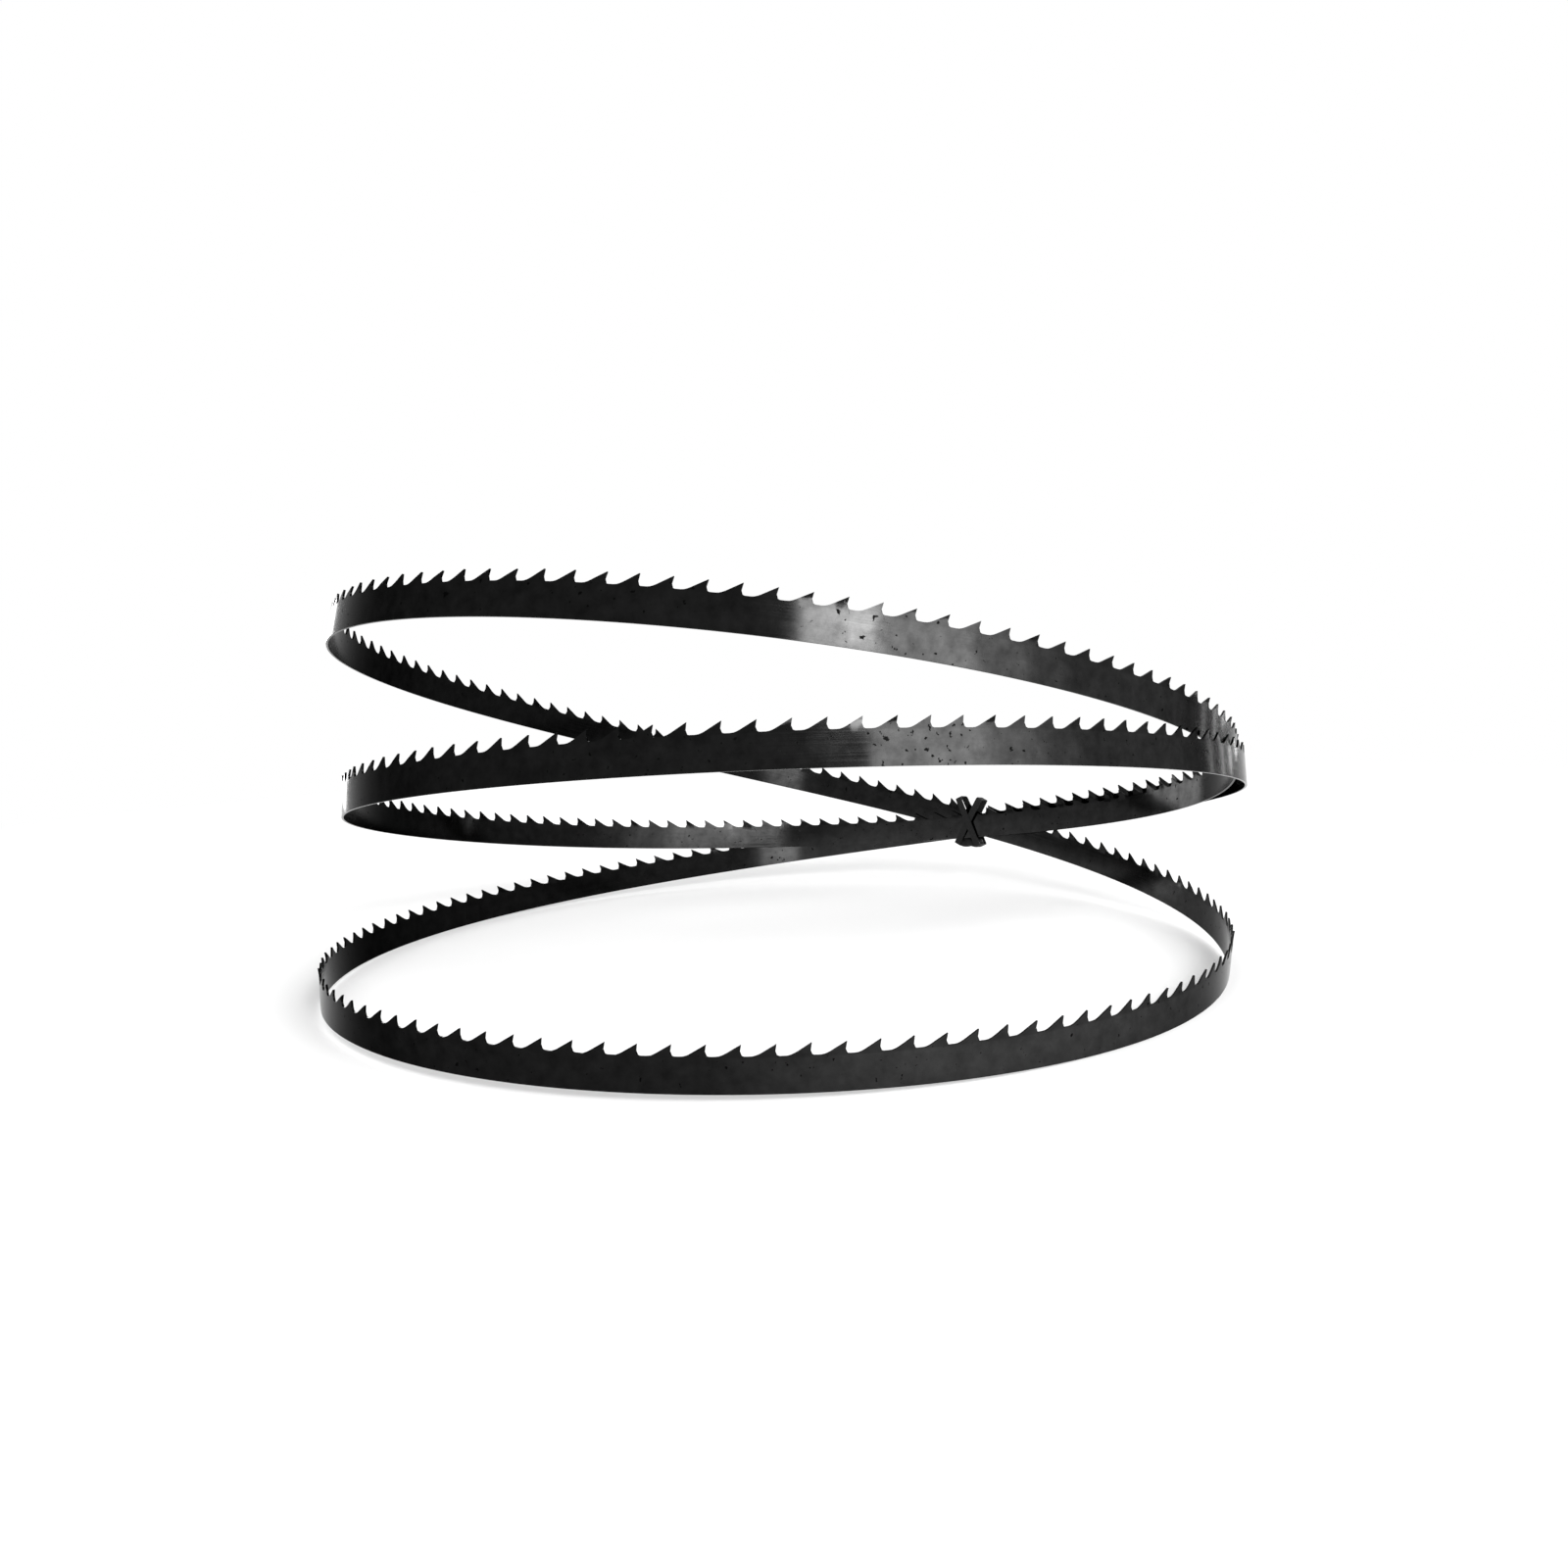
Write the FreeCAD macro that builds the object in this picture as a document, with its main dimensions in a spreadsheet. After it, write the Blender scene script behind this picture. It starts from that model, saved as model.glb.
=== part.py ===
# Band saw blade as it is sold: one welded, endless steel band with hook teeth along its upper edge,
# coiled into three turns that spring apart at the front and are held where they cross by a tie.
# Units are millimetres and degrees. +Z is up, -Y is the front, and the coil stands on z = 0 with
# the origin under the middle of its box. The teeth point the way that the band is followed here,
# anticlockwise from above.

import FreeCAD, Part
import math
import os
import Sketcher

doc = FreeCAD.newDocument("band_saw_blade")

# Driving dimensions

SIZES = [
    ("band_width", 12.3, "back edge to tooth tips"),
    ("band_thickness", 0.65, "steel strip"),
    ("tooth_spacing", 8.467, "tip to tip as ordered, three teeth to the inch"),
    ("tooth_depth", 3.1, "tip to gullet floor"),
    ("rake_angle", 10.0, "lean of the cutting face towards the cut"),
    ("gullet_radius", 1.1, "corner between the cutting face and the floor"),
    ("gullet_floor", 2.4, "flat part of the floor"),
    ("tooth_set", 0.22, "how far a set tooth leans out at its tip"),
    ("first_tooth", 7.33, "from the tie to the first tip, along the back edge"),
    ("tie_direction", 148.0, "plan angle of the tie, anticlockwise from the front"),
    ("tie_radius", 150.0, "middle one of the three strands at the tie"),
    ("strand_clearance", 1.31, "free space between two strands at the tie"),
    ("tie_height", 20.5, "back edges of the inner and outer strands at the tie"),
    ("crossing_rise", 2.0, "how much higher the middle strand crosses them"),
    ("middle_left_radius", 140.5, "turn of middle height: a quarter turn past the tie"),
    ("middle_front_radius", 147.0, "opposite the tie"),
    ("middle_right_radius", 149.0, "a quarter turn before the tie"),
    ("low_left_radius", 149.0, "the same for the lowest turn"),
    ("low_front_radius", 155.5, "opposite the tie"),
    ("low_right_radius", 145.0, "before the tie"),
    ("high_left_radius", 147.0, "the same for the highest turn"),
    ("high_front_radius", 144.5, "opposite the tie"),
    ("high_right_radius", 146.0, "before the tie"),
    ("middle_left_height", 33.5, "back edge at the same places"),
    ("middle_front_height", 75.5, "opposite the tie"),
    ("middle_right_height", 66.5, "before the tie"),
    ("low_left_height", 0.5, "lowest turn"),
    ("low_front_height", 3.0, "opposite the tie"),
    ("low_right_height", 0.0, "before the tie"),
    ("high_left_height", 86.0, "highest turn"),
    ("high_front_height", 119.0, "opposite the tie"),
    ("high_right_height", 75.0, "before the tie"),
    ("strap_width", 2.6, "flat strap of the tie"),
    ("strap_thickness", 0.7, "flat strap of the tie"),
    ("strap_clearance", 0.12, "between the strap and the strands"),
    ("strap_corner", 0.9, "inner corner radius of its loops"),
    ("strap_lean", 26.0, "lean of each of its two crossing loops"),
    ("knot_length", 11.0, "gathered ends, laid along under the strands"),
    ("knot_width", 4.4, "across the strands"),
    ("knot_depth", 2.4, "upright"),
    ("knot_bevel", 0.9, "on all their edges"),
    ("knot_drop", 0.9, "how far they hang below the loops"),
]

sheet = doc.addObject("Spreadsheet::Sheet", "Sizes")


def write_row(name, value, note):
    row = write_row.next_row
    write_row.next_row += 1
    sheet.set("A%d" % row, name)
    sheet.set("B%d" % row, str(value))
    sheet.set("C%d" % row, note)
    sheet.setAlias("B%d" % row, name)


write_row.next_row = 1
for size_name, size_value, size_note in SIZES:
    write_row(size_name, size_value, size_note)
doc.recompute()


def size(name):
    return float(getattr(sheet, name))


# Sketch geometry points: start, end and centre of a piece, and the sketch's own origin and x axis

START, END, CENTRE = 1, 2, 3
ORIGIN, X_AXIS = -1, -1


def bind(sketch, kind, label, expression, value, *places):
    """Dimension in a sketch that follows the sheet."""
    number = sketch.addConstraint(Sketcher.Constraint(kind, *places, value))
    sketch.renameConstraint(number, label)
    sketch.setExpression("Constraints." + label, expression)


# Gullet profile: x runs along the band from the tip in front of the gullet, y is the height above
# the gullet floor. The cutting face leans forward, a round corner turns it into the flat floor, and
# from the floor's end a straight ramp climbs to the next tip.

rake = math.radians(size("rake_angle"))
corner = size("gullet_radius")
face_foot = corner * (1.0 + math.sin(rake))
face_back = (size("tooth_depth") - face_foot) * math.tan(rake)
corner_x = corner * math.cos(rake) - face_back

gullet = doc.addObject("Sketcher::SketchObject", "Gullet")
gullet.Label = "gullet profile"
face_line = gullet.addGeometry(
    Part.LineSegment(FreeCAD.Vector(-face_back, face_foot, 0.0),
                     FreeCAD.Vector(0.0, size("tooth_depth"), 0.0)), False)
corner_arc = gullet.addGeometry(
    Part.ArcOfCircle(Part.Circle(FreeCAD.Vector(corner_x, corner, 0.0), FreeCAD.Vector(0, 0, 1), corner),
                     math.pi - rake, 1.5 * math.pi), False)
floor_line = gullet.addGeometry(
    Part.LineSegment(FreeCAD.Vector(corner_x, 0.0, 0.0),
                     FreeCAD.Vector(corner_x + size("gullet_floor"), 0.0, 0.0)), False)
gullet.addConstraint(Sketcher.Constraint("Tangent", face_line, START, corner_arc, START))
gullet.addConstraint(Sketcher.Constraint("Tangent", corner_arc, END, floor_line, START))
gullet.addConstraint(Sketcher.Constraint("Horizontal", floor_line))
gullet.addConstraint(Sketcher.Constraint("PointOnObject", floor_line, START, X_AXIS))
gullet.addConstraint(Sketcher.Constraint("DistanceX", ORIGIN, START, face_line, END, 0.0))
bind(gullet, "DistanceY", "depth", "Sizes.tooth_depth", size("tooth_depth"),
     ORIGIN, START, face_line, END)
bind(gullet, "Angle", "rake", "(90 - Sizes.rake_angle) * 1 deg", 0.5 * math.pi - rake, face_line)
bind(gullet, "Radius", "corner", "Sizes.gullet_radius", corner, corner_arc)
bind(gullet, "DistanceX", "floor", "Sizes.gullet_floor", size("gullet_floor"),
     floor_line, START, floor_line, END)
doc.recompute()

CORNER_STEPS = 3
drawn_arc = gullet.Geometry[corner_arc]
arc_start = drawn_arc.FirstParameter
arc_turn = drawn_arc.LastParameter - arc_start
gullet_points = [drawn_arc.value(arc_start + arc_turn * number / CORNER_STEPS)
                 for number in range(CORNER_STEPS + 1)]
floor_end = gullet.getPoint(floor_line, END)

# Route of the band's back edge: twelve stations, a quarter turn apart, and a smooth closed wave
# through them. Each turn passes the tie, its left, the side opposite it and its right.

TURNS = 3
STATIONS_PER_TURN = 4
STATIONS = TURNS * STATIONS_PER_TURN
ROUTE = 360.0 * TURNS
STATION_STEP = ROUTE / STATIONS

strand_pitch = size("band_thickness") + 2.0 * size("tooth_set") + size("strand_clearance")

station_radii = [
    size("tie_radius") - strand_pitch,
    size("middle_left_radius"), size("middle_front_radius"), size("middle_right_radius"),
    size("tie_radius") + strand_pitch,
    size("low_left_radius"), size("low_front_radius"), size("low_right_radius"),
    size("tie_radius"),
    size("high_left_radius"), size("high_front_radius"), size("high_right_radius"),
]

station_heights = [
    size("tie_height"),
    size("middle_left_height"), size("middle_front_height"), size("middle_right_height"),
    size("tie_height"),
    size("low_left_height"), size("low_front_height"), size("low_right_height"),
    size("tie_height") + size("crossing_rise"),
    size("high_left_height"), size("high_front_height"), size("high_right_height"),
]


def wave(values, turned):
    """Closed wave through one value per station; turned is degrees along the band from the tie."""
    total = 0.0
    for number, value in enumerate(values):
        away = math.radians((turned - STATION_STEP * number) * 360.0 / ROUTE)
        away = math.remainder(away, 2.0 * math.pi)
        if abs(away) < 1e-9:
            return value
        total += value * math.sin(STATIONS * away / 2.0) / (STATIONS * math.tan(away / 2.0))
    return total


def back_edge(turned):
    angle = math.radians(size("tie_direction") + turned)
    radius = wave(station_radii, turned)
    return FreeCAD.Vector(radius * math.sin(angle), -radius * math.cos(angle),
                          wave(station_heights, turned))


def band_axes(turned):
    """Unit vectors out of the band's outer face and across it from back edge to teeth.

    A flat strip bends only about its own width, so the width stands square to the route's curve.
    """
    step = 0.5
    before = back_edge(turned - step)
    here = back_edge(turned)
    after = back_edge(turned + step)
    along = (after - before).normalize()
    across = along.cross(after - here - (here - before)).normalize()
    return along.cross(across).normalize(), across


# A whole number of teeth goes round the band, in sets of three: left, right and straight

SET_PATTERN = (1.0, -1.0, 0.0)
SAMPLES = 1080

sample_turns = [ROUTE * number / SAMPLES for number in range(SAMPLES + 1)]
sample_points = [back_edge(turned) for turned in sample_turns]
sample_lengths = [0.0]
for number in range(SAMPLES):
    step_length = (sample_points[number + 1] - sample_points[number]).Length
    sample_lengths.append(sample_lengths[-1] + step_length)
band_length = sample_lengths[-1]
teeth = len(SET_PATTERN) * round(band_length / (len(SET_PATTERN) * size("tooth_spacing")))
spacing = band_length / teeth


def turned_at(length):
    """Degrees from the tie at a length along the back edge."""
    laps, rest = divmod(length, band_length)
    low = 0
    high = SAMPLES
    while high - low > 1:
        middle = (low + high) // 2
        if sample_lengths[middle] <= rest:
            low = middle
        else:
            high = middle
    share = (rest - sample_lengths[low]) / (sample_lengths[high] - sample_lengths[low])
    return ROUTE * laps + sample_turns[low] + share * ROUTE / SAMPLES


# Blade: the strip is folded very slightly at the end of each gullet floor, so that every tooth
# has flat faces and three turns of teeth stay light. Between two folds lies one cell: the ramp up
# to a tip, the tip, and the gullet in front of it.

floor_height = size("band_width") - size("tooth_depth")
half_thickness = 0.5 * size("band_thickness")
ramp_length = spacing - floor_end.x
bend_height = gullet_points[0].y
bend_on_ramp = ramp_length * bend_height / size("tooth_depth")

INNER, OUTER = -1, 1
corners = {}
edges = {}
faces = []


def place(name, point):
    corners[name] = Part.Vertex(point)


def add_face(*names):
    """Flat face through named corners, listed anticlockwise as seen from outside the steel."""
    wire_edges = []
    for first, second in zip(names, names[1:] + names[:1]):
        key = (first, second) if first < second else (second, first)
        if key not in edges:
            edges[key] = Part.Edge(corners[key[0]], corners[key[1]])
        wire_edges.append(edges[key])
    face = Part.Face(Part.Wire(wire_edges))
    points = [corners[name].Point for name in names]
    facing = FreeCAD.Vector()
    for first, second in zip(points, points[1:] + points[:1]):
        facing += (first - points[0]).cross(second - points[0])
    if face.normalAt(0.0, 0.0).dot(facing) < 0.0:
        face.reverse()
    faces.append(face)


folds = []
for number in range(teeth):
    turned = turned_at(size("first_tooth") + number * spacing + floor_end.x)
    outward, across = band_axes(turned)
    foot = back_edge(turned)
    folds.append((foot, foot + across * floor_height, across))
    for side in (INNER, OUTER):
        place((number, side, "back"), foot + outward * half_thickness * side)
        place((number, side, "fold"), foot + outward * half_thickness * side + across * floor_height)

RIM = ["ramp", "tip", "arc0", "arc1", "arc2", "arc3"]

for number in range(teeth):
    following = (number + 1) % teeth
    across = (folds[number][2] + folds[following][2]).normalize()
    for side in (INNER, OUTER):
        start = corners[(number, side, "fold")].Point
        along = corners[(following, side, "fold")].Point - start
        outward = along.cross(across).normalize()

        def put(name, x, y, lean=0.0):
            place((number, side, name), start + along * (x / spacing) + across * y + outward * lean)

        put("ramp", bend_on_ramp, bend_height)
        put("tip", ramp_length, size("tooth_depth"),
            size("tooth_set") * SET_PATTERN[number % len(SET_PATTERN)])
        for step, point in enumerate(gullet_points):
            put("arc%d" % step, ramp_length + point.x, point.y)

        back, next_back = (number, side, "back"), (following, side, "back")
        fold, next_fold = (number, side, "fold"), (following, side, "fold")
        rim = {name: (number, side, name) for name in RIM}
        outlines = [
            (back, next_back, next_fold),
            (back, next_fold, rim["arc3"], fold),
            (fold, rim["arc3"], rim["arc2"], rim["arc1"], rim["arc0"], rim["ramp"]),
            (rim["ramp"], rim["arc0"], rim["tip"]),
        ]
        for outline in outlines:
            add_face(*(outline if side == OUTER else outline[::-1]))

    rim_line = [(number, "fold")] + [(number, name) for name in RIM] + [(following, "fold")]
    back_line = [(following, "back"), (number, "back")]
    for line in (rim_line, back_line):
        for (cell, name), (next_cell, next_name) in zip(line, line[1:]):
            first_out, first_in = (cell, OUTER, name), (cell, INNER, name)
            second_out, second_in = (next_cell, OUTER, next_name), (next_cell, INNER, next_name)
            add_face(first_out, second_out, second_in)
            add_face(first_out, second_in, first_in)

blade_solid = Part.Solid(Part.Shell(faces))
blade = doc.addObject("Part::Feature", "Blade")
blade.Label = "blade"
blade.Shape = blade_solid

# Home: the origin is on the ground under the middle of the blade's box

box = blade_solid.BoundBox
home = FreeCAD.Placement(FreeCAD.Vector(-box.Center.x, -box.Center.y, -box.ZMin), FreeCAD.Rotation())
blade.Placement = home

# Tie: two loops of strap that lean opposite ways round the three strands and so cross on both
# faces, with the gathered ends under the back edges. Its own frame has x out of the coil, y up
# across the strands and z back along them.

tie_turns = [360.0 * number for number in range(TURNS)]
tie_outward = FreeCAD.Vector()
tie_centre = FreeCAD.Vector()
for turned in tie_turns:
    outward, across = band_axes(turned)
    tie_outward += outward
    tie_centre += (back_edge(turned) + across * (0.5 * size("band_width"))) * (1.0 / TURNS)
tie_outward.normalize()
tie_back = tie_outward.cross(FreeCAD.Vector(0.0, 0.0, 1.0)).normalize()
tie_frame = FreeCAD.Placement(
    tie_centre, FreeCAD.Rotation(tie_outward, tie_back.cross(tie_outward), tie_back, "XYZ"))

lean = math.radians(size("strap_lean"))
reach = size("band_width") * math.tan(lean) + size("strap_width")
reach_turns = math.degrees(reach / size("tie_radius"))
REACH_STEPS = 24


def strand_points(turned):
    """Corners of a strand's section in the frame of the tie, set teeth included."""
    outward, across = band_axes(turned)
    foot = back_edge(turned)
    side = half_thickness + size("tooth_set")
    for height in (0.0, size("band_width")):
        for offset in (-side, side):
            yield tie_frame.inverse().multVec(foot + across * height + outward * offset)


inner_width = 0.0
inner_height = 0.0
for turned in tie_turns:
    for number in range(-REACH_STEPS, REACH_STEPS + 1):
        for point in strand_points(turned + reach_turns * number / REACH_STEPS):
            for tilt in (-lean, lean):
                beside = point.z * math.cos(tilt) - point.y * math.sin(tilt)
                above = point.y * math.cos(tilt) + point.z * math.sin(tilt)
                if abs(beside) <= 0.5 * size("strap_width"):
                    inner_width = max(inner_width, 2.0 * abs(point.x))
                    inner_height = max(inner_height, 2.0 * abs(above))

write_row("loop_width", inner_width + 2.0 * size("strap_clearance"), "worked out from the strands")
write_row("loop_height", inner_height + 2.0 * size("strap_clearance"), "worked out from the strands")
doc.recompute()


def rounded_rectangle(sketch, label, width, height, radius, growth):
    """Rounded rectangle round the origin; each size is a pair of sheet name and value."""
    grown = " + %s" % growth[0] if growth[0] else ""
    half_width = 0.5 * width[1] + growth[1]
    half_height = 0.5 * height[1] + growth[1]
    turn = radius[1] + growth[1]
    x, y = half_width - turn, half_height - turn

    def line(x0, y0, x1, y1):
        segment = Part.LineSegment(FreeCAD.Vector(x0, y0, 0.0), FreeCAD.Vector(x1, y1, 0.0))
        return sketch.addGeometry(segment, False)

    def arc(x0, y0, quarter):
        circle = Part.Circle(FreeCAD.Vector(x0, y0, 0.0), FreeCAD.Vector(0, 0, 1), turn)
        begin = 0.5 * math.pi * quarter
        return sketch.addGeometry(Part.ArcOfCircle(circle, begin, begin + 0.5 * math.pi), False)

    lines = [line(-x, -half_height, x, -half_height), line(half_width, -y, half_width, y),
             line(x, half_height, -x, half_height), line(-half_width, y, -half_width, -y)]
    arcs = [arc(x, -y, 3), arc(x, y, 0), arc(-x, y, 1), arc(-x, -y, 2)]
    for number in range(4):
        sketch.addConstraint(Sketcher.Constraint("Tangent", lines[number], END, arcs[number], START))
        following = lines[(number + 1) % 4]
        sketch.addConstraint(Sketcher.Constraint("Tangent", arcs[number], END, following, START))
    for number in range(3):
        sketch.addConstraint(Sketcher.Constraint("Equal", arcs[number], arcs[number + 1]))
    sketch.addConstraint(Sketcher.Constraint("Horizontal", lines[0]))
    sketch.addConstraint(Sketcher.Constraint("Vertical", lines[1]))
    sketch.addConstraint(Sketcher.Constraint("Symmetric", arcs[0], CENTRE, arcs[2], CENTRE, ORIGIN, START))
    bind(sketch, "Radius", label + "_corner", "Sizes.%s%s" % (radius[0], grown), turn, arcs[0])
    doubled = " + 2 * %s" % growth[0] if growth[0] else ""
    bind(sketch, "DistanceX", label + "_width", "Sizes.%s%s" % (width[0], doubled),
         2.0 * half_width, lines[3], START, lines[1], END)
    bind(sketch, "DistanceY", label + "_height", "Sizes.%s%s" % (height[0], doubled),
         2.0 * half_height, lines[0], START, lines[2], END)


def named(name):
    return name, size(name)


def origin_plane(body, role):
    return [item for item in body.Origin.OriginFeatures if item.Role == role][0]


def strap_loop(name, tilt):
    body = doc.addObject("PartDesign::Body", name)
    body.Label = name
    sketch = body.newObject("Sketcher::SketchObject", name + "_outline")
    sketch.AttachmentSupport = [(origin_plane(body, "XY_Plane"), "")]
    sketch.MapMode = "FlatFace"
    inner_sizes = (named("loop_width"), named("loop_height"), named("strap_corner"))
    rounded_rectangle(sketch, "inner", *inner_sizes, ("", 0.0))
    rounded_rectangle(sketch, "outer", *inner_sizes, ("Sizes.strap_thickness", size("strap_thickness")))
    pad = body.newObject("PartDesign::Pad", name + "_width")
    pad.Profile = sketch
    pad.Midplane = True
    pad.setExpression("Length", "Sizes.strap_width")
    body.Tip = pad
    turn = FreeCAD.Rotation(FreeCAD.Vector(1, 0, 0), tilt)
    body.Placement = tie_frame.multiply(FreeCAD.Placement(FreeCAD.Vector(), turn))
    return body


loops = [strap_loop("tie_loop_one", size("strap_lean")), strap_loop("tie_loop_two", -size("strap_lean"))]

knot = doc.addObject("PartDesign::Body", "tie_knot")
knot.Label = "tie_knot"
knot_sketch = knot.newObject("Sketcher::SketchObject", "knot_section")
knot_sketch.AttachmentSupport = [(origin_plane(knot, "XY_Plane"), "")]
knot_sketch.MapMode = "FlatFace"
half_width = 0.5 * size("knot_width")
half_depth = 0.5 * size("knot_depth")
knot_points = [FreeCAD.Vector(-half_width, -half_depth, 0.0), FreeCAD.Vector(half_width, -half_depth, 0.0),
               FreeCAD.Vector(half_width, half_depth, 0.0), FreeCAD.Vector(-half_width, half_depth, 0.0)]
knot_lines = []
for first, second in zip(knot_points, knot_points[1:] + knot_points[:1]):
    knot_lines.append(knot_sketch.addGeometry(Part.LineSegment(first, second), False))
for number, line in enumerate(knot_lines):
    following = knot_lines[(number + 1) % len(knot_lines)]
    knot_sketch.addConstraint(Sketcher.Constraint("Coincident", line, END, following, START))
    direction = "Horizontal" if number % 2 == 0 else "Vertical"
    knot_sketch.addConstraint(Sketcher.Constraint(direction, line))
bottom_line, right_line, top_line, left_line = knot_lines
knot_sketch.addConstraint(
    Sketcher.Constraint("Symmetric", bottom_line, START, top_line, START, ORIGIN, START))
bind(knot_sketch, "DistanceX", "width", "Sizes.knot_width", size("knot_width"),
     bottom_line, START, bottom_line, END)
bind(knot_sketch, "DistanceY", "depth", "Sizes.knot_depth", size("knot_depth"),
     right_line, START, right_line, END)
knot_pad = knot.newObject("PartDesign::Pad", "knot_length")
knot_pad.Profile = knot_sketch
knot_pad.Midplane = True
knot_pad.setExpression("Length", "Sizes.knot_length")
doc.recompute()
knot_bevel = knot.newObject("PartDesign::Chamfer", "knot_bevel")
knot_bevel.Base = (knot_pad, ["Edge%d" % (number + 1) for number in range(len(knot_pad.Shape.Edges))])
knot_bevel.setExpression("Size", "Sizes.knot_bevel")
knot.Tip = knot_bevel
loop_bottom = (0.5 * size("loop_height") + size("strap_thickness")) * math.cos(lean)
knot_height = half_depth - loop_bottom - size("knot_drop")
knot.Placement = tie_frame.multiply(
    FreeCAD.Placement(FreeCAD.Vector(0.0, knot_height, 0.0), FreeCAD.Rotation()))

tie = doc.addObject("Part::MultiFuse", "Tie")
tie.Label = "tie"
tie.Shapes = loops + [knot]
tie.Refine = True
tie.Placement = home
doc.recompute()

# Checks, then one file for each sub-part

for item in doc.Objects:
    if "Invalid" in item.State or "Error" in item.State:
        raise RuntimeError("%s did not recompute: %s" % (item.Label, item.State))
for item in (blade, tie):
    if item.Shape.isNull() or not item.Shape.isValid():
        raise RuntimeError("%s has no valid shape" % item.Label)
    if len(item.Shape.Solids) != 1 or item.Shape.Volume <= 0.0:
        raise RuntimeError("%s is not one closed solid" % item.Label)

os.makedirs("parts", exist_ok=True)
for item in (blade, tie):
    item.Shape.exportStep("parts/%s.step" % item.Label)
print("band length %.1f mm, %d teeth, spacing %.3f mm" % (band_length, teeth, spacing))
print("blade volume %.0f mm3, tie volume %.1f mm3" % (blade.Shape.Volume, tie.Shape.Volume))
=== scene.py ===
# %% [markdown]
# # A band saw blade, coiled and tied for sale
# A band saw blade is one endless steel ribbon. Hook teeth are ground along one edge, and to store
# it the ribbon is folded into three loops that want to spring apart. This notebook dresses the
# measured model: it makes the ribbon smooth, sets its teeth, blues the steel, and winds the little
# tie.

# %% Load the measured frame
import math
import bmesh
import bpy
import numpy as np
from mathutils import Matrix, Vector


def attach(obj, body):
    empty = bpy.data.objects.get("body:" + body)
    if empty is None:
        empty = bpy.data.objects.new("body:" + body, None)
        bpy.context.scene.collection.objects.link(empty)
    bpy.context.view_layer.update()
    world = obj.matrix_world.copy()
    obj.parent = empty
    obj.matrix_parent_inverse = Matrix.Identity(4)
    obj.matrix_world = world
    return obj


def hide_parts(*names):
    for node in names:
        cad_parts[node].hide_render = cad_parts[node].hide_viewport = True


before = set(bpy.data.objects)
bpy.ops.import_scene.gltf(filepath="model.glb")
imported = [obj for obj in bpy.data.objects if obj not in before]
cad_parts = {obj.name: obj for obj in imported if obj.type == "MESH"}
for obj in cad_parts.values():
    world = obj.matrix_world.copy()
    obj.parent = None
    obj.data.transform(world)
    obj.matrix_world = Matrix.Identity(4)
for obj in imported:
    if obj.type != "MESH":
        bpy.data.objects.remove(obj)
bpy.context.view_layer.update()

# %% [markdown]
# ## Sizes
# The blade is known by four numbers: width, thickness, tooth spacing and loop length. They are
# written in millimetres, as blade makers do, and one factor turns them into metres. FACET_DEPTH
# moves the smooth strip a little inward, because the measured one is flat between its teeth and a
# curve drawn through its corners would bulge past it.

# %% Sizes
MM = 0.001
BAND_WIDTH = 12.3
BAND_THICKNESS = 0.65
TOOTH_SPACING = 8.467
TOOTH_DEPTH = 3.1
RAKE = math.radians(10.0)
GULLET_RADIUS = 1.1
GULLET_FLOOR = 2.4
GULLET_RISE = BAND_WIDTH - TOOTH_DEPTH
BEND_RISE = GULLET_RISE + GULLET_RADIUS * (1.0 + math.sin(RAKE))
TOOTH_SET = 0.22
SET_PATTERN = np.array([0.0, -1.0, 1.0])
FIRST_TOOTH = 7.33
FACET_DEPTH = 0.06

TIE_DIRECTION = 148.0
TIE_RADIUS = 150.0
STRAND_PITCH = 2.4
TIE_HEIGHT = 20.5
CROSSING_RISE = 2.0

TURNS = 3
STATIONS = 12
RADII = np.array([TIE_RADIUS - STRAND_PITCH, 140.5, 147.0, 149.0,
                  TIE_RADIUS + STRAND_PITCH, 149.0, 155.5, 145.0,
                  TIE_RADIUS, 147.0, 144.5, 146.0])
HEIGHTS = np.array([TIE_HEIGHT, 33.5, 75.5, 66.5,
                    TIE_HEIGHT, 0.5, 3.0, 0.0,
                    TIE_HEIGHT + CROSSING_RISE, 86.0, 119.0, 75.0])
HOME = np.array([0.643, 0.399, 0.041])

# %% [markdown]
# ## The route
# Nobody draws the path of a coiled blade: the steel finds it. Twelve stations, four to a turn, say
# how far out and how high the ribbon runs, and one smooth closed wave joins them. A flat strip can
# only bend across its thickness, so its width always stands square to the curve. That is what makes
# the loops lean in at the top of the coil and out at the crossing.

# %% Route of the back edge
ROUTE_STEP = 0.25
TANGENT_STEP = 0.5
NEAR_STATION = 1e-9


def wave(values, turned):
    """The smoothest closed wave through one value at each station."""
    station_turn = 360.0 * TURNS / STATIONS
    away = np.radians((turned[:, None] - station_turn * np.arange(STATIONS)) / TURNS)
    away = (away + np.pi) % (2.0 * np.pi) - np.pi
    at_station = np.abs(away) < NEAR_STATION
    safe = np.where(at_station, 1.0, away)
    pulse = np.sin(0.5 * STATIONS * safe) / (STATIONS * np.tan(0.5 * safe))
    return np.where(at_station, 1.0, pulse) @ values


def unit(vectors):
    return vectors / np.linalg.norm(vectors, axis=1)[:, None]


def back_edge(turned):
    angle = np.radians(TIE_DIRECTION + turned)
    radius = wave(RADII, turned)
    rise = wave(HEIGHTS, turned)
    return np.stack([radius * np.sin(angle), -radius * np.cos(angle), rise], 1) + HOME


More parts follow.
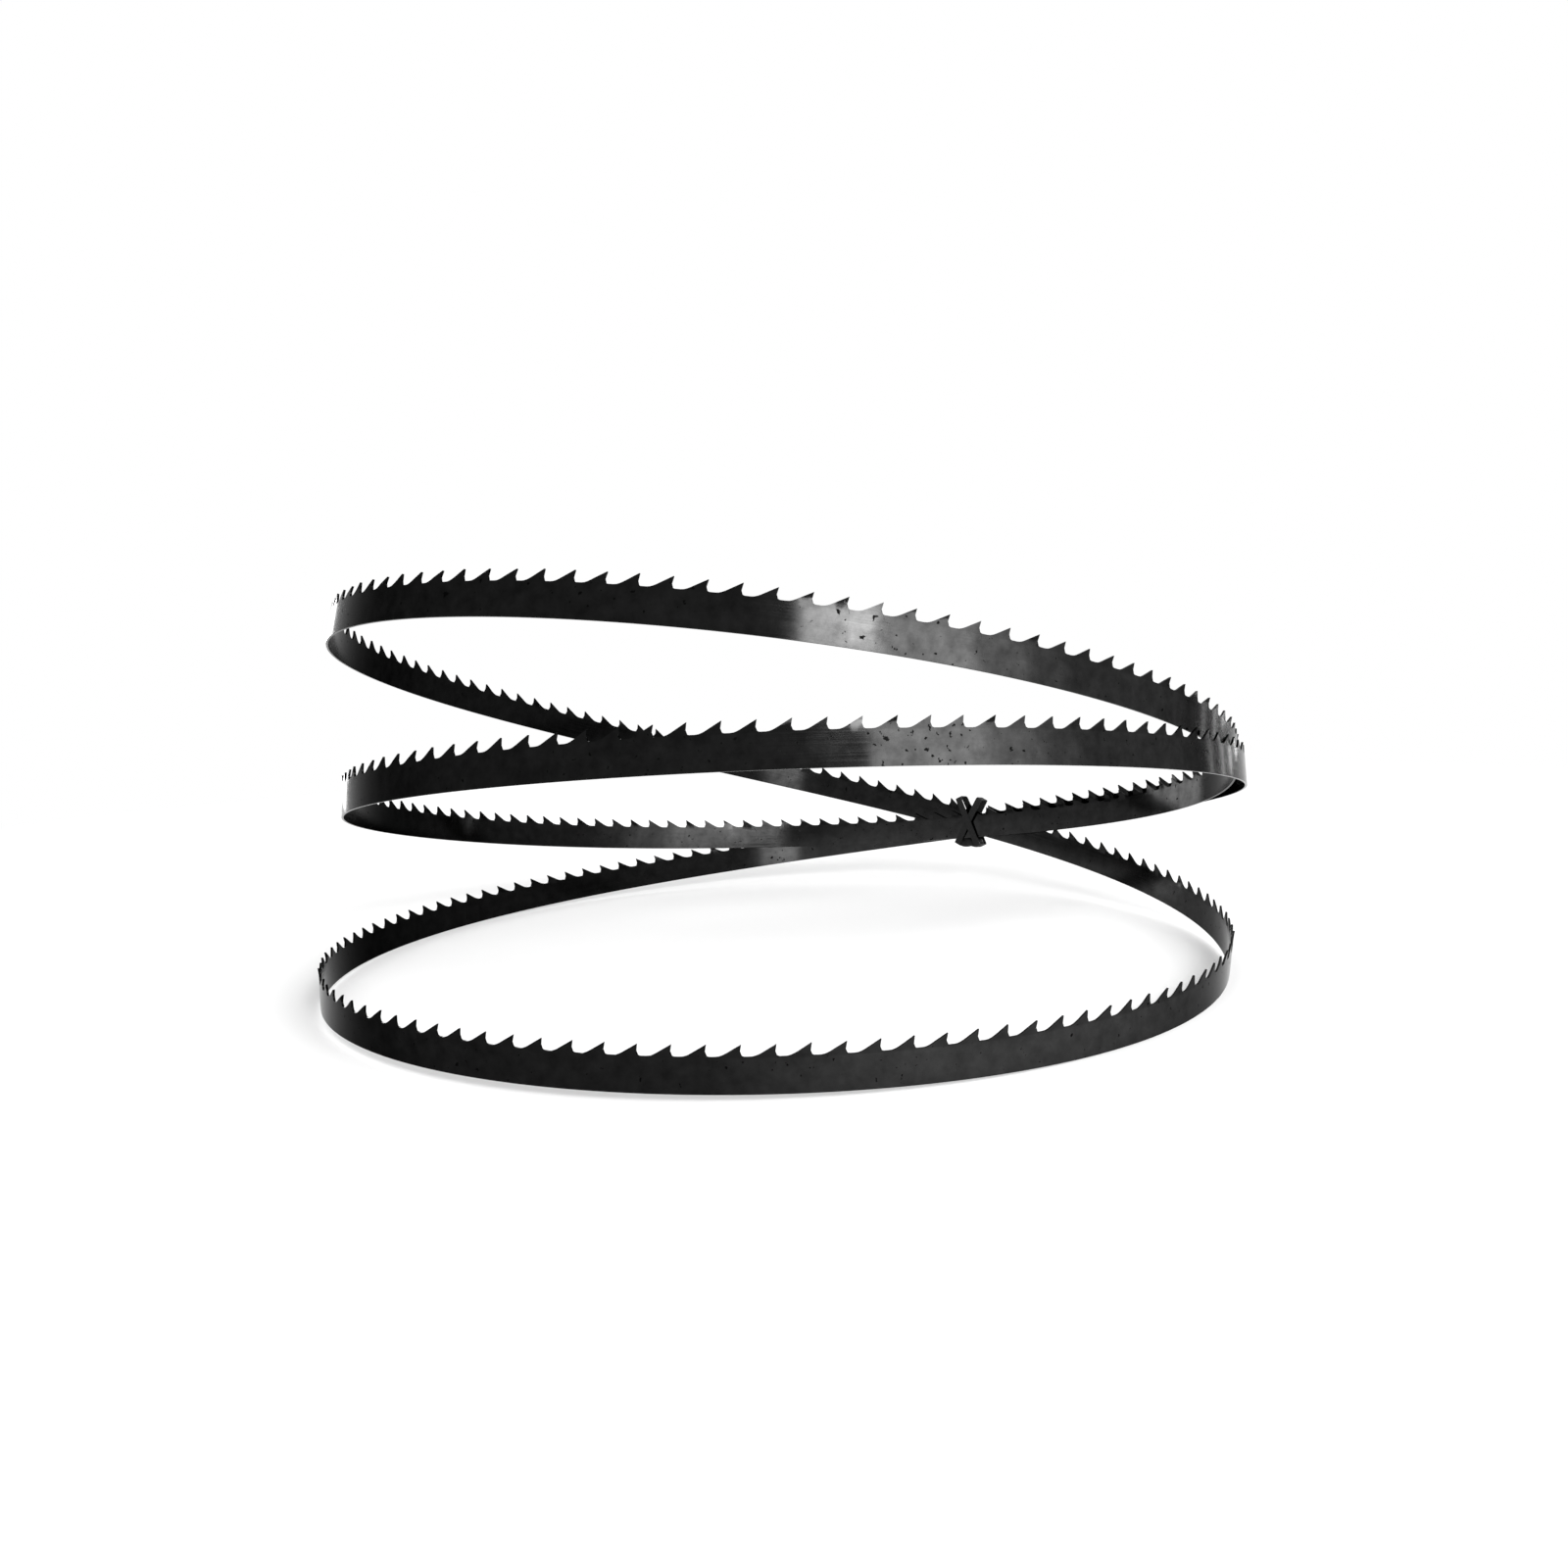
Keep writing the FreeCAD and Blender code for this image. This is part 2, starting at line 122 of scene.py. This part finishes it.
turned = np.arange(0.0, 360.0 * TURNS + 0.5 * ROUTE_STEP, ROUTE_STEP)
here, before, after = (back_edge(turned + shift) for shift in (0.0, -TANGENT_STEP, TANGENT_STEP))
along = unit(after - before)
across = unit(np.cross(along, after - 2.0 * here + before))
outward = np.cross(along, across)
run = np.concatenate([[0.0], np.cumsum(np.linalg.norm(np.diff(here, axis=0), axis=1))])
band_length = run[-1]
teeth = 3 * round(band_length / (3 * TOOTH_SPACING))
spacing = band_length / teeth
print("band %.1f mm round, %d teeth, %.3f mm apart" % (band_length, teeth, spacing))


def on_band(length, rise, out):
    """Points in metres, from millimetres along the band, up it and out of its face."""
    wrapped = np.mod(length, band_length)

    def at(table):
        return np.stack([np.interp(wrapped, run, table[:, axis]) for axis in range(3)], 1)

    return (at(here) + unit(at(across)) * rise[:, None] + unit(at(outward)) * out[:, None]) * MM


# %% [markdown]
# ## One tooth, laid flat
# The ribbon is made the way it is milled: flat first. An edge chain follows one tooth, with a
# straight back, a tip, a face that leans forward by the rake angle, a round gullet and its floor.
# Pulling that chain down in three rows gives the side of the strip below it, and two cuts above the
# gullet give the tooth the rows that it bends along.

# %% Flat strip
RAMP_SHARES = (0.24, 0.5, 0.78, 1.0)
RAMP_FOOT = ((-1.1, 0.0), (-0.3, 0.09), (0.5, 0.36))
ARC_STEPS = 8
ROW_SHARES = (0.86, 0.45, 0.0)
WELD = 1e-6


def everything(mesh_data):
    return mesh_data.verts[:] + mesh_data.edges[:] + mesh_data.faces[:]


def only(kind, items):
    return [item for item in items if isinstance(item, kind)]


def edges_of(points):
    """Every edge at the points, once each and always in the same order."""
    return list(dict.fromkeys(edge for point in points for edge in point.link_edges))


def gullet_outline():
    """One tooth and its gullet in millimetres, and how far past the tip the gullet's round ends."""
    foot = GULLET_RADIUS * (1.0 + math.sin(RAKE))
    lean = (TOOTH_DEPTH - foot) * math.tan(RAKE)
    centre = GULLET_RADIUS * math.cos(RAKE) - lean
    ramp = spacing - centre - GULLET_FLOOR
    points = [(ramp * part, GULLET_RISE + TOOTH_DEPTH * part) for part in RAMP_SHARES]
    begin, end = math.pi - RAKE, 1.5 * math.pi
    for number in range(ARC_STEPS + 1):
        angle = begin + (end - begin) * number / ARC_STEPS
        points.append((ramp + centre + GULLET_RADIUS * math.cos(angle),
                       GULLET_RISE + GULLET_RADIUS * (1.0 + math.sin(angle))))
    points += [(spacing + shift, GULLET_RISE + rise) for shift, rise in RAMP_FOOT]
    points.append((spacing + RAMP_SHARES[0] * ramp, GULLET_RISE + RAMP_SHARES[0] * TOOTH_DEPTH))
    return points, centre


outline, corner_x = gullet_outline()
blade_mesh = bmesh.new()
chain = [blade_mesh.verts.new((x * MM, 0.0, z * MM)) for x, z in outline]
rim = [blade_mesh.edges.new(pair) for pair in zip(chain, chain[1:])]
reach = np.concatenate([[0.0], np.cumsum([edge.calc_length() for edge in rim])])
reach = reach / reach[-1] * spacing * MM

edges = rim
for row_share in ROW_SHARES:
    grown = bmesh.ops.extrude_edge_only(blade_mesh, edges=edges)["geom"]
    edges = only(bmesh.types.BMEdge, grown)
    for point in only(bmesh.types.BMVert, grown):
        upper = next(edge.other_vert(point) for edge in point.link_edges if edge not in edges)
        if upper in chain:
            point.co.x = chain[0].co.x + reach[chain.index(upper)]
        point.co.z = row_share * GULLET_RISE * MM
for rise in (BEND_RISE, 0.5 * (BEND_RISE + BAND_WIDTH)):
    bmesh.ops.bisect_plane(blade_mesh, geom=everything(blade_mesh), dist=WELD,
                           plane_co=(0.0, 0.0, rise * MM), plane_no=(0.0, 0.0, 1.0))
print("one tooth has", len(blade_mesh.faces), "faces a side")

# %% [markdown]
# ## All the teeth
# The tile is repeated along the strip, welded, and drawn out to the strip's thickness. The two end
# walls go, because the ends will meet. A map of the strip, along it and up it, is kept for the
# rolling marks.

# %% Repeat, thicken and map
END_REACH = 5e-5

bmesh.ops.spin(blade_mesh, geom=everything(blade_mesh), cent=(0.0, 0.0, 0.0),
               axis=(0.0, 1.0, 0.0), dvec=(spacing * MM, 0.0, 0.0), angle=0.0, steps=teeth - 1,
               use_duplicate=True, use_merge=False)
bmesh.ops.remove_doubles(blade_mesh, verts=blade_mesh.verts[:], dist=WELD)
grown = bmesh.ops.extrude_face_region(blade_mesh, geom=blade_mesh.faces[:],
                                      use_keep_orig=True)["geom"]
bmesh.ops.translate(blade_mesh, verts=only(bmesh.types.BMVert, grown),
                    vec=(0.0, BAND_THICKNESS * MM, 0.0))
first = outline[0][0] * MM
last = first + band_length * MM
end_walls = [face for face in blade_mesh.faces
             if any(all(abs(point.co.x - end) < END_REACH for point in face.verts)
                    for end in (first, last))]
bmesh.ops.delete(blade_mesh, geom=end_walls, context="FACES")
steel_map = blade_mesh.loops.layers.uv.new("steel")
for face in blade_mesh.faces:
    for loop in face.loops:
        loop[steel_map].uv = (loop.vert.co.x, loop.vert.co.z)
print("flat strip has", len(blade_mesh.faces), "faces")

# %% [markdown]
# ## Set and coil
# The teeth are set in threes: one stays straight, one is bent inward and one outward, so that the
# cut is wider than the strip. Then the flat strip is laid along the route, its two ends meet as
# they do at the weld, and its sharp edges are broken by a twentieth of a millimetre.

# %% Set the teeth and lay the strip along the route
SEAM_WELD = 1e-5
SHARP_ANGLE = 60.0
EDGE_BREAK = 0.05
ROUNDING = 1e-6

flat = np.array([point.co for point in blade_mesh.verts]) / MM
tooth = np.floor(flat[:, 0] / spacing + ROUNDING).astype(int) % teeth
bent = np.clip((flat[:, 2] - BEND_RISE) / (BAND_WIDTH - BEND_RISE), 0.0, 1.0)
side = (flat[:, 1] - 0.5 * BAND_THICKNESS - FACET_DEPTH
        + TOOTH_SET * SET_PATTERN[tooth % 3] * bent)
start = FIRST_TOOTH + corner_x + GULLET_FLOOR
for point, place in zip(blade_mesh.verts, on_band(flat[:, 0] + start, flat[:, 2], side)):
    point.co = place
bmesh.ops.remove_doubles(blade_mesh, verts=blade_mesh.verts[:], dist=SEAM_WELD)
bmesh.ops.recalc_face_normals(blade_mesh, faces=blade_mesh.faces[:])
sharp = [edge for edge in blade_mesh.edges
         if edge.is_manifold and edge.calc_face_angle() > math.radians(SHARP_ANGLE)]
bmesh.ops.bevel(blade_mesh, geom=sharp, offset=EDGE_BREAK * MM, offset_type="OFFSET", segments=1,
                profile=0.5, affect="EDGES", material=-1, clamp_overlap=True)
print(len(sharp), "sharp edges broken")

# %% [markdown]
# ## From mesh to piece
# A finished mesh becomes an object at the origin. It rides the part's one body and takes the place
# of a measured piece. A closed skin has two faces at every edge, so any other count is printed.

# %% Finish a piece
def open_edges(mesh):
    """How many edges don't have exactly two faces."""
    use = np.zeros(len(mesh.edges), int)
    for loop in mesh.loops:
        use[loop.edge_index] += 1
    return int((use != 2).sum())


def finish_piece(name, mesh_data, node, sharp_angle):
    mesh = bpy.data.meshes.new(name)
    mesh_data.to_mesh(mesh)
    mesh_data.free()
    for polygon in mesh.polygons:
        polygon.use_smooth = True
    mesh.set_sharp_from_angle(angle=math.radians(sharp_angle))
    piece = bpy.data.objects.new(name, mesh)
    bpy.context.scene.collection.objects.link(piece)
    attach(piece, "root")
    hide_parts(node)
    print(name, len(mesh.polygons), "faces,", open_edges(mesh), "open edges")
    return piece


blade = finish_piece("blade_band", blade_mesh, "blade", 35.0)

# %% [markdown]
# ## The tie
# Where the three strands cross, a flat plastic strap goes round them twice, once leaning each way,
# and its two ends are twisted together underneath. Two loops of strap cross on both faces, so the
# second one is wound just outside the first.

# %% Frame of the tie
strand_runs = np.interp(360.0 * np.arange(TURNS), turned, run)
half_width = np.full(TURNS, 0.5 * BAND_WIDTH)
inside, outside = (on_band(strand_runs, half_width, np.full(TURNS, out)) for out in (0.0, 1.0))
tie_centre = Vector(inside.mean(axis=0))
tie_out = Vector((outside - inside).sum(axis=0))
tie_out.normalize()
tie_back = tie_out.cross(Vector((0.0, 0.0, 1.0))).normalized()
tie_up = tie_back.cross(tie_out)
tie_axes = Matrix((tie_out, tie_up, tie_back)).transposed().to_4x4()
tie_frame = Matrix.Translation(tie_centre) @ tie_axes
print("tie centre", [round(value / MM, 1) for value in tie_centre], "mm")

# %% Two loops of strap
LOOP_WIDTH, LOOP_HEIGHT, LOOP_CORNER = 6.28, 21.40, 0.9
STRAP_WIDTH, STRAP_LAYER, STRAP_LEAN = 2.6, 0.32, 26.0
INNER_GAP, OUTER_GAP = 0.02, 0.36
LOOP_STEPS = 96
END_STEER, SIDE_STEER = 0.12, 0.55


def strap(mesh_data, gap, lean):
    """One closed loop of flat strap, a rounded rectangle drawn from a circle."""
    ring = bmesh.ops.create_circle(mesh_data, cap_ends=False, segments=LOOP_STEPS,
                                   radius=1.0)["verts"]
    corner = LOOP_CORNER + gap
    wide, high = 0.5 * LOOP_WIDTH + gap - corner, 0.5 * LOOP_HEIGHT + gap - corner
    for point in ring:
        angle = math.atan2(point.co.y, point.co.x)
        steer_x, steer_y = math.cos(angle), math.sin(angle)
        to_end, to_side = abs(steer_x) > END_STEER, min(1.0, abs(steer_y) / SIDE_STEER)
        point.co.x = math.copysign(wide, steer_x) * to_end + corner * steer_x
        point.co.y = math.copysign(high, steer_y) * to_side + corner * steer_y
        point.co.z = -0.5 * STRAP_WIDTH
    grown = bmesh.ops.extrude_edge_only(mesh_data, edges=edges_of(ring))["geom"]
    top, faces = only(bmesh.types.BMVert, grown), only(bmesh.types.BMFace, grown)
    bmesh.ops.translate(mesh_data, verts=top, vec=(0.0, 0.0, STRAP_WIDTH))
    bmesh.ops.recalc_face_normals(mesh_data, faces=faces)
    shell = bmesh.ops.solidify(mesh_data, geom=faces, thickness=-STRAP_LAYER)["geom"]
    skin = only(bmesh.types.BMFace, shell) + faces
    points = list({point for face in skin for point in face.verts} | set(ring) | set(top))
    turn = Matrix.Scale(MM, 4) @ Matrix.Rotation(math.radians(lean), 4, "X")
    bmesh.ops.transform(mesh_data, matrix=tie_frame @ turn, verts=points)


tie_mesh = bmesh.new()
strap(tie_mesh, INNER_GAP, STRAP_LEAN)
strap(tie_mesh, OUTER_GAP, -STRAP_LEAN)
print("two loops have", len(tie_mesh.faces), "faces")

# %% [markdown]
# ## The twisted ends
# The ends of the strap could be a knot or a clip; the photograph shows only a rounded lump. Two
# cords that wind round each other, thick in the middle and thin at the tips, give that lump.

# %% Two twisted ends
KNOT_LENGTH, KNOT_WIDTH, KNOT_DEPTH, KNOT_HEIGHT = 11.4, 4.4, 4.6, -8.75
CORD_RADIUS = 0.38 * KNOT_DEPTH
CORD_SIDES = 18
KNOT_STEPS = 48
KNOT_TWIST = 330.0
TIP_SHARE = 0.45
TIP_ROUND = 2.6


def twisted_end(mesh_data, phase):
    """One end of the strap, a round cord swept along a tapering spiral."""
    old_points = set(mesh_data.verts)
    offset = (0.5 * KNOT_DEPTH - CORD_RADIUS, 0.0, -0.5 * KNOT_LENGTH)
    move = Matrix.Rotation(phase, 4, "Z") @ Matrix.Translation(offset)
    ring = bmesh.ops.create_circle(mesh_data, cap_ends=False, segments=CORD_SIDES,
                                   radius=CORD_RADIUS, matrix=move)["verts"]
    bmesh.ops.spin(mesh_data, geom=ring + edges_of(ring), cent=(0.0, 0.0, 0.0),
                   axis=(0.0, 0.0, 1.0), dvec=(0.0, 0.0, KNOT_LENGTH / KNOT_STEPS),
                   angle=math.radians(KNOT_TWIST), steps=KNOT_STEPS, use_duplicate=False,
                   use_merge=False)
    points = [point for point in mesh_data.verts if point not in old_points]
    for point in points:
        share = min(1.0, abs(point.co.z) / (0.5 * KNOT_LENGTH))
        taper = TIP_SHARE + (1.0 - TIP_SHARE) * math.sqrt(1.0 - share ** TIP_ROUND)
        point.co.x *= taper * KNOT_WIDTH / KNOT_DEPTH
        point.co.y *= taper
    open_rims = [edge for edge in mesh_data.edges if edge.is_boundary]
    bmesh.ops.holes_fill(mesh_data, edges=open_rims, sides=0)
    bmesh.ops.translate(mesh_data, verts=points, vec=(0.0, KNOT_HEIGHT, 0.0))
    bmesh.ops.transform(mesh_data, matrix=tie_frame @ Matrix.Scale(MM, 4), verts=points)


for phase in (0.0, math.pi):
    twisted_end(tie_mesh, phase)
bmesh.ops.recalc_face_normals(tie_mesh, faces=tie_mesh.faces[:])
tie = finish_piece("tie_strap", tie_mesh, "tie", 40.0)

# %% [markdown]
# ## Camera
# The photograph was taken from just in front of the coil and a little above it. The camera's place,
# tilt and lens come from fitting the strands and tooth tips of the photograph to the route.

# %% Camera
CAMERA_PLACE = Vector((0.893, -493.41, 114.21))
PITCH, ROLL = math.radians(6.226), math.radians(-2.149)
SENSOR_WIDTH = 36.0
FOCAL_PIXELS, PICTURE_PIXELS = 1493.8, 1600.0

camera_data = bpy.data.cameras.new("camera")
camera_data.sensor_width = SENSOR_WIDTH
camera_data.lens = SENSOR_WIDTH * FOCAL_PIXELS / PICTURE_PIXELS
camera_data.clip_start = 0.01
camera_data.clip_end = 50.0
camera = bpy.data.objects.new("camera", camera_data)
bpy.context.scene.collection.objects.link(camera)
level = Vector((1.0, 0.0, 0.0))
upward = Vector((0.0, math.sin(PITCH), math.cos(PITCH)))
right = level * math.cos(ROLL) + upward * math.sin(ROLL)
up = upward * math.cos(ROLL) - level * math.sin(ROLL)
ahead = Vector((0.0, math.cos(PITCH), -math.sin(PITCH)))
rotation = Matrix((right, up, -ahead)).transposed().to_4x4()
camera.matrix_world = Matrix.Translation(CAMERA_PLACE * MM) @ rotation
bpy.context.scene.camera = camera
print("lens %.2f mm" % camera_data.lens)

# %% [markdown]
# ## Materials
# Blued steel is nearly black, because its thin oxide skin reflects only a percent or two straight
# on, and it turns bright where it is seen at a glancing angle. Rolling leaves fine lines along the
# strip, the oxide is cloudy and has small dark pits, and the ground teeth are an even dark grey.

# %% Material helpers
def linear(code):
    """A hex colour turned from sRGB to linear."""
    parts = [int(code[place:place + 2], 16) / 255.0 for place in (1, 3, 5)]
    return tuple(part / 12.92 if part <= 0.04045 else ((part + 0.055) / 1.055) ** 2.4
                 for part in parts) + (1.0,)


def new_material(name):
    material = bpy.data.materials.new(name)
    material.use_nodes = True
    return material, material.node_tree, material.node_tree.nodes["Principled BSDF"]


def put(tree, socket, value):
    """Links the output of a node to a socket, or sets a plain value on it."""
    if isinstance(value, bpy.types.NodeSocket):
        tree.links.new(value, socket)
    else:
        socket.default_value = value


def add(tree, kind, settings=None, **inputs):
    """Adds a node; an input is named by its label, or by its place after an underscore."""
    node = tree.nodes.new(kind)
    for name, value in (settings or {}).items():
        setattr(node, name, value)
    for name, value in inputs.items():
        place = int(name[1:]) if name[1:].isdigit() else name.replace("_", " ")
        put(tree, node.inputs[place], value)
    return node


def maths(tree, operation, first, second, **more):
    node = add(tree, "ShaderNodeMath", {"operation": operation}, _0=first, _1=second, **more)
    return node.outputs[0]


def noise(tree, place, **inputs):
    return add(tree, "ShaderNodeTexNoise", None, Vector=place, **inputs).outputs[0]


def blend_colours(tree, share, first, second):
    node = add(tree, "ShaderNodeMix", {"data_type": "RGBA"}, _0=share, _6=first, _7=second)
    return node.outputs[2]


def ramp(tree, value, low, high, floor=0.0, ceiling=1.0):
    node = add(tree, "ShaderNodeMapRange", {"clamp": True}, Value=value, From_Min=low,
               From_Max=high, To_Min=floor, To_Max=ceiling)
    return node.outputs[0]


# %% [markdown]
# ## Blued steel
# The rolling lines follow the strip, so they use its own map. The clouds and pits are cut through
# the whole coil, so they use object coordinates. More pits lie in two worn places at the front. The
# steel is painted darker on the left and lighter on the right, a painted shade and painted light,
# and low down on the right it is painted lighter still, a painted reflection.

# %% Blued steel
ROLLING_SCALE = (28.0, 2600.0, 1.0)
CLOUD_SCALE, CLOUD_RANGE = 230.0, (0.3, 0.7)
PIT_SCALE, PIT_RANGE = 620.0, (0.69, 0.73)
WORN_PLACES = (((0.035, -0.142, 0.087), 0.02, 0.085),
               ((0.018, -0.142, 0.112), 0.02, 0.02))
# Painted shade and painted light: the steel is painted darker at the left end and lighter at the
# right end.
PAINTED_SHADE_TO_LIGHT_RANGE = (-0.15, 0.15)
# Painted reflection: low down on the right the steel is painted lighter.
PAINTED_REFLECTION_X, PAINTED_REFLECTION_Z = (-0.02, 0.03), (0.032, 0.018)
# Each pair holds a real cloudy oxide tone; the three pairs are the painted shade, the painted light
# and the painted reflection.
SKIN_TONES_WITH_PAINTED_LIGHT = (("#080808", "#111111"), ("#1f1f1f", "#2d2d2d"), ("#2c2c2c", "#3a3a3a"))
GROUND_TONE, GROUND_SHARE, GROUND_FADE = "#151515", 0.3, 0.5
PIT_TONE = "#080808"

steel, tree, shader = new_material("blued_spring_steel")
flat_place = add(tree, "ShaderNodeUVMap", {"uv_map": "steel"}).outputs[0]
rise = add(tree, "ShaderNodeSeparateXYZ", None, Vector=flat_place).outputs[1]
solid = add(tree, "ShaderNodeTexCoord").outputs["Object"]
spot = add(tree, "ShaderNodeSeparateXYZ", None, Vector=solid).outputs

rolled = add(tree, "ShaderNodeMapping", None, Vector=flat_place, Scale=ROLLING_SCALE).outputs[0]
rolling = noise(tree, rolled, Scale=1.0, Detail=4.0)
mottle = noise(tree, solid, Scale=CLOUD_SCALE, Detail=6.0, Roughness=0.62)
cloud = ramp(tree, mottle, *CLOUD_RANGE)
speck = noise(tree, solid, Scale=PIT_SCALE, Detail=2.0)
worn = []
for centre, radius, depth in WORN_PLACES:
    gap = add(tree, "ShaderNodeVectorMath", {"operation": "DISTANCE"}, _0=solid, _1=centre)
    worn.append(ramp(tree, gap.outputs["Value"], 0.0, radius, depth, 0.0))
pits = ramp(tree, maths(tree, "ADD", speck, maths(tree, "MAXIMUM", *worn)), *PIT_RANGE)

# Painted shade on the left, fading to painted light on the right.
painted_shade_to_light = ramp(tree, spot[0], *PAINTED_SHADE_TO_LIGHT_RANGE)
# Painted reflection, strongest low down on the right.
painted_reflection_patch = maths(tree, "MULTIPLY", ramp(tree, spot[0], *PAINTED_REFLECTION_X),
                  ramp(tree, spot[2], *PAINTED_REFLECTION_Z))
painted_shade_tone, light, painted_reflection_tone = (blend_colours(tree, cloud, linear(dark), linear(pale))
                      for dark, pale in SKIN_TONES_WITH_PAINTED_LIGHT)
# The base colour blends the painted shade into the painted light, then into the painted reflection
# low on the right.
skin = blend_colours(tree, painted_reflection_patch, blend_colours(tree, painted_shade_to_light, painted_shade_tone, light), painted_reflection_tone)
ground = ramp(tree, rise, (GULLET_RISE - GROUND_FADE) * MM, GULLET_RISE * MM, 0.0, GROUND_SHARE)
skin = blend_colours(tree, ground, skin, linear(GROUND_TONE))
skin = blend_colours(tree, pits, skin, linear(PIT_TONE))

rough = ramp(tree, rolling, 0.3, 0.7, 0.10, 0.16)
rougher = maths(tree, "MULTIPLY_ADD", pits, 0.35, _2=rough)
grain = add(tree, "ShaderNodeBump", None, Strength=0.03, Distance=0.00002, Height=rolling)
put(tree, shader.inputs["Base Color"], skin)
put(tree, shader.inputs["Metallic"], 1.0)
put(tree, shader.inputs["Specular Tint"], (0.5, 0.5, 0.5, 1.0))
put(tree, shader.inputs["Roughness"], rougher)
put(tree, shader.inputs["Normal"], grain.outputs[0])
blade.data.materials.append(steel)
print("steel nodes", len(tree.nodes))

# %% [markdown]
# ## Black plastic
# Strapping tape is matt polypropylene. One fine noise gives it a grain in tone, gloss and height.

# %% Black plastic
PLASTIC_GRAIN = 900.0

plastic, tree, shader = new_material("black_polypropylene")
solid = add(tree, "ShaderNodeTexCoord").outputs["Object"]
fine = noise(tree, solid, Scale=PLASTIC_GRAIN, Detail=3.0)
bump = add(tree, "ShaderNodeBump", None, Strength=0.25, Distance=0.00005, Height=fine)
put(tree, shader.inputs["Base Color"],
    blend_colours(tree, fine, linear("#0e0e0e"), linear("#161616")))
put(tree, shader.inputs["Roughness"], ramp(tree, fine, 0.3, 0.7, 0.5, 0.68))
put(tree, shader.inputs["Specular IOR Level"], 0.15)
put(tree, shader.inputs["Normal"], bump.outputs[0])
tie.data.materials.append(plastic)
print("plastic nodes", len(tree.nodes))

# %% [markdown]
# ## Studio
# A pale paper floor and an even white surround light the coil plainly. Away from the coil the floor
# is seen as pure white, so that no horizon shows, and near it the paper keeps the coil's shadow.

# %% Floor and surround
FLOOR_REACH = 6.0
WHITE_FROM, WHITE_BEYOND = 0.25, 0.7

floor_mesh = bmesh.new()
bmesh.ops.create_grid(floor_mesh, x_segments=1, y_segments=1, size=FLOOR_REACH)
floor_data = bpy.data.meshes.new("floor")
floor_mesh.to_mesh(floor_data)
floor_mesh.free()
floor = bpy.data.objects.new("floor", floor_data)
bpy.context.scene.collection.objects.link(floor)
paper, tree, shader = new_material("white_paper")
put(tree, shader.inputs["Base Color"], linear("#e4e4e4"))
put(tree, shader.inputs["Roughness"], 0.9)
put(tree, shader.inputs["Specular IOR Level"], 0.0)
solid = add(tree, "ShaderNodeTexCoord").outputs["Object"]
away = add(tree, "ShaderNodeVectorMath", {"operation": "LENGTH"}, _0=solid).outputs["Value"]
rays = add(tree, "ShaderNodeLightPath").outputs
seen = maths(tree, "ADD", rays["Is Camera Ray"], rays["Is Glossy Ray"])
seen = ramp(tree, maths(tree, "ADD", seen, rays["Is Transmission Ray"]), 0.0, 1.0)
share = maths(tree, "MULTIPLY", ramp(tree, away, WHITE_FROM, WHITE_BEYOND), seen)
white = add(tree, "ShaderNodeEmission").outputs[0]
surface = add(tree, "ShaderNodeMixShader", None, _0=share, _1=shader.outputs[0], _2=white)
put(tree, tree.nodes["Material Output"].inputs["Surface"], surface.outputs[0])
floor_data.materials.append(paper)

world = bpy.data.worlds.new("surround")
bpy.context.scene.world = world
world.use_nodes = True
surround = world.node_tree.nodes["Background"].inputs
surround["Color"].default_value = (1.0, 1.0, 1.0, 1.0)
surround["Strength"].default_value = 1.0
print("floor %.0f m wide" % (2.0 * FLOOR_REACH))

# %% [markdown]
# ## Lights
# The key light is a soft box in front, right of the camera. Four nested panels make it brightest at
# its upper left corner, which gives the steel its bright patches with one firm and one faded edge.
# A weak fill stands at the right and a small lamp low in front. Behind, one lamp lights the left
# end and four narrow strips draw the thin upright lines on the right end.

# %% Lights
LAMP_TARGET = Vector((0.0, 0.0, 0.08))
KEY_TOP, KEY_DISTANCE = 29.0, 1.5
KEY_PANELS = ((20.0, 70.0, 8.0, 1.6), (20.0, 60.0, 8.0, 3.4),
              (20.0, 47.0, 8.0, 7.0), (9.0, 25.0, 18.5, 32.0))
LAMPS = (("fill", 88.0, 10.0, 1.5, 1.1, 0.6, 1.0),
         ("low", 4.0, 3.0, 1.5, 0.3, 0.12, 1.1),
         ("rim", -151.0, 2.0, 0.75, 0.36, 0.25, 2.0))
STRIP_AZIMUTHS = (116.0, 123.0, 129.0, 135.0)


def soft_box(name, azimuth, elevation, distance, width, height, power):
    """Area light seen from the front of the coil; azimuth 0 is the camera's side, 90 the right."""
    data = bpy.data.lights.new(name, "AREA")
    data.shape = "RECTANGLE"
    data.size, data.size_y = width, height
    data.energy = power
    lamp = bpy.data.objects.new(name, data)
    bpy.context.scene.collection.objects.link(lamp)
    turn, tilt = math.radians(azimuth), math.radians(elevation)
    away = Vector((math.sin(turn) * math.cos(tilt), -math.cos(turn) * math.cos(tilt),
                   math.sin(tilt)))
    lamp.location = LAMP_TARGET + away * distance
    lamp.rotation_euler = away.to_track_quat("Z", "Y").to_euler()


for number, (left_edge, right_edge, low_edge, glow_level) in enumerate(KEY_PANELS):
    wide, high = (2.0 * KEY_DISTANCE * math.tan(0.5 * math.radians(span))
                  for span in (right_edge - left_edge, KEY_TOP - low_edge))
    soft_box("key_%d" % number, 0.5 * (left_edge + right_edge), 0.5 * (KEY_TOP + low_edge),
             KEY_DISTANCE, wide, high, math.pi * wide * high * glow_level)
for lamp_facts in LAMPS:
    soft_box(*lamp_facts)
for number, azimuth in enumerate(STRIP_AZIMUTHS):
    soft_box("strip_%d" % number, azimuth, 6.0, 1.2, 0.018, 0.8, 0.9)
bpy.context.scene.view_settings.view_transform = "Standard"
print(len(bpy.data.lights), "lamps")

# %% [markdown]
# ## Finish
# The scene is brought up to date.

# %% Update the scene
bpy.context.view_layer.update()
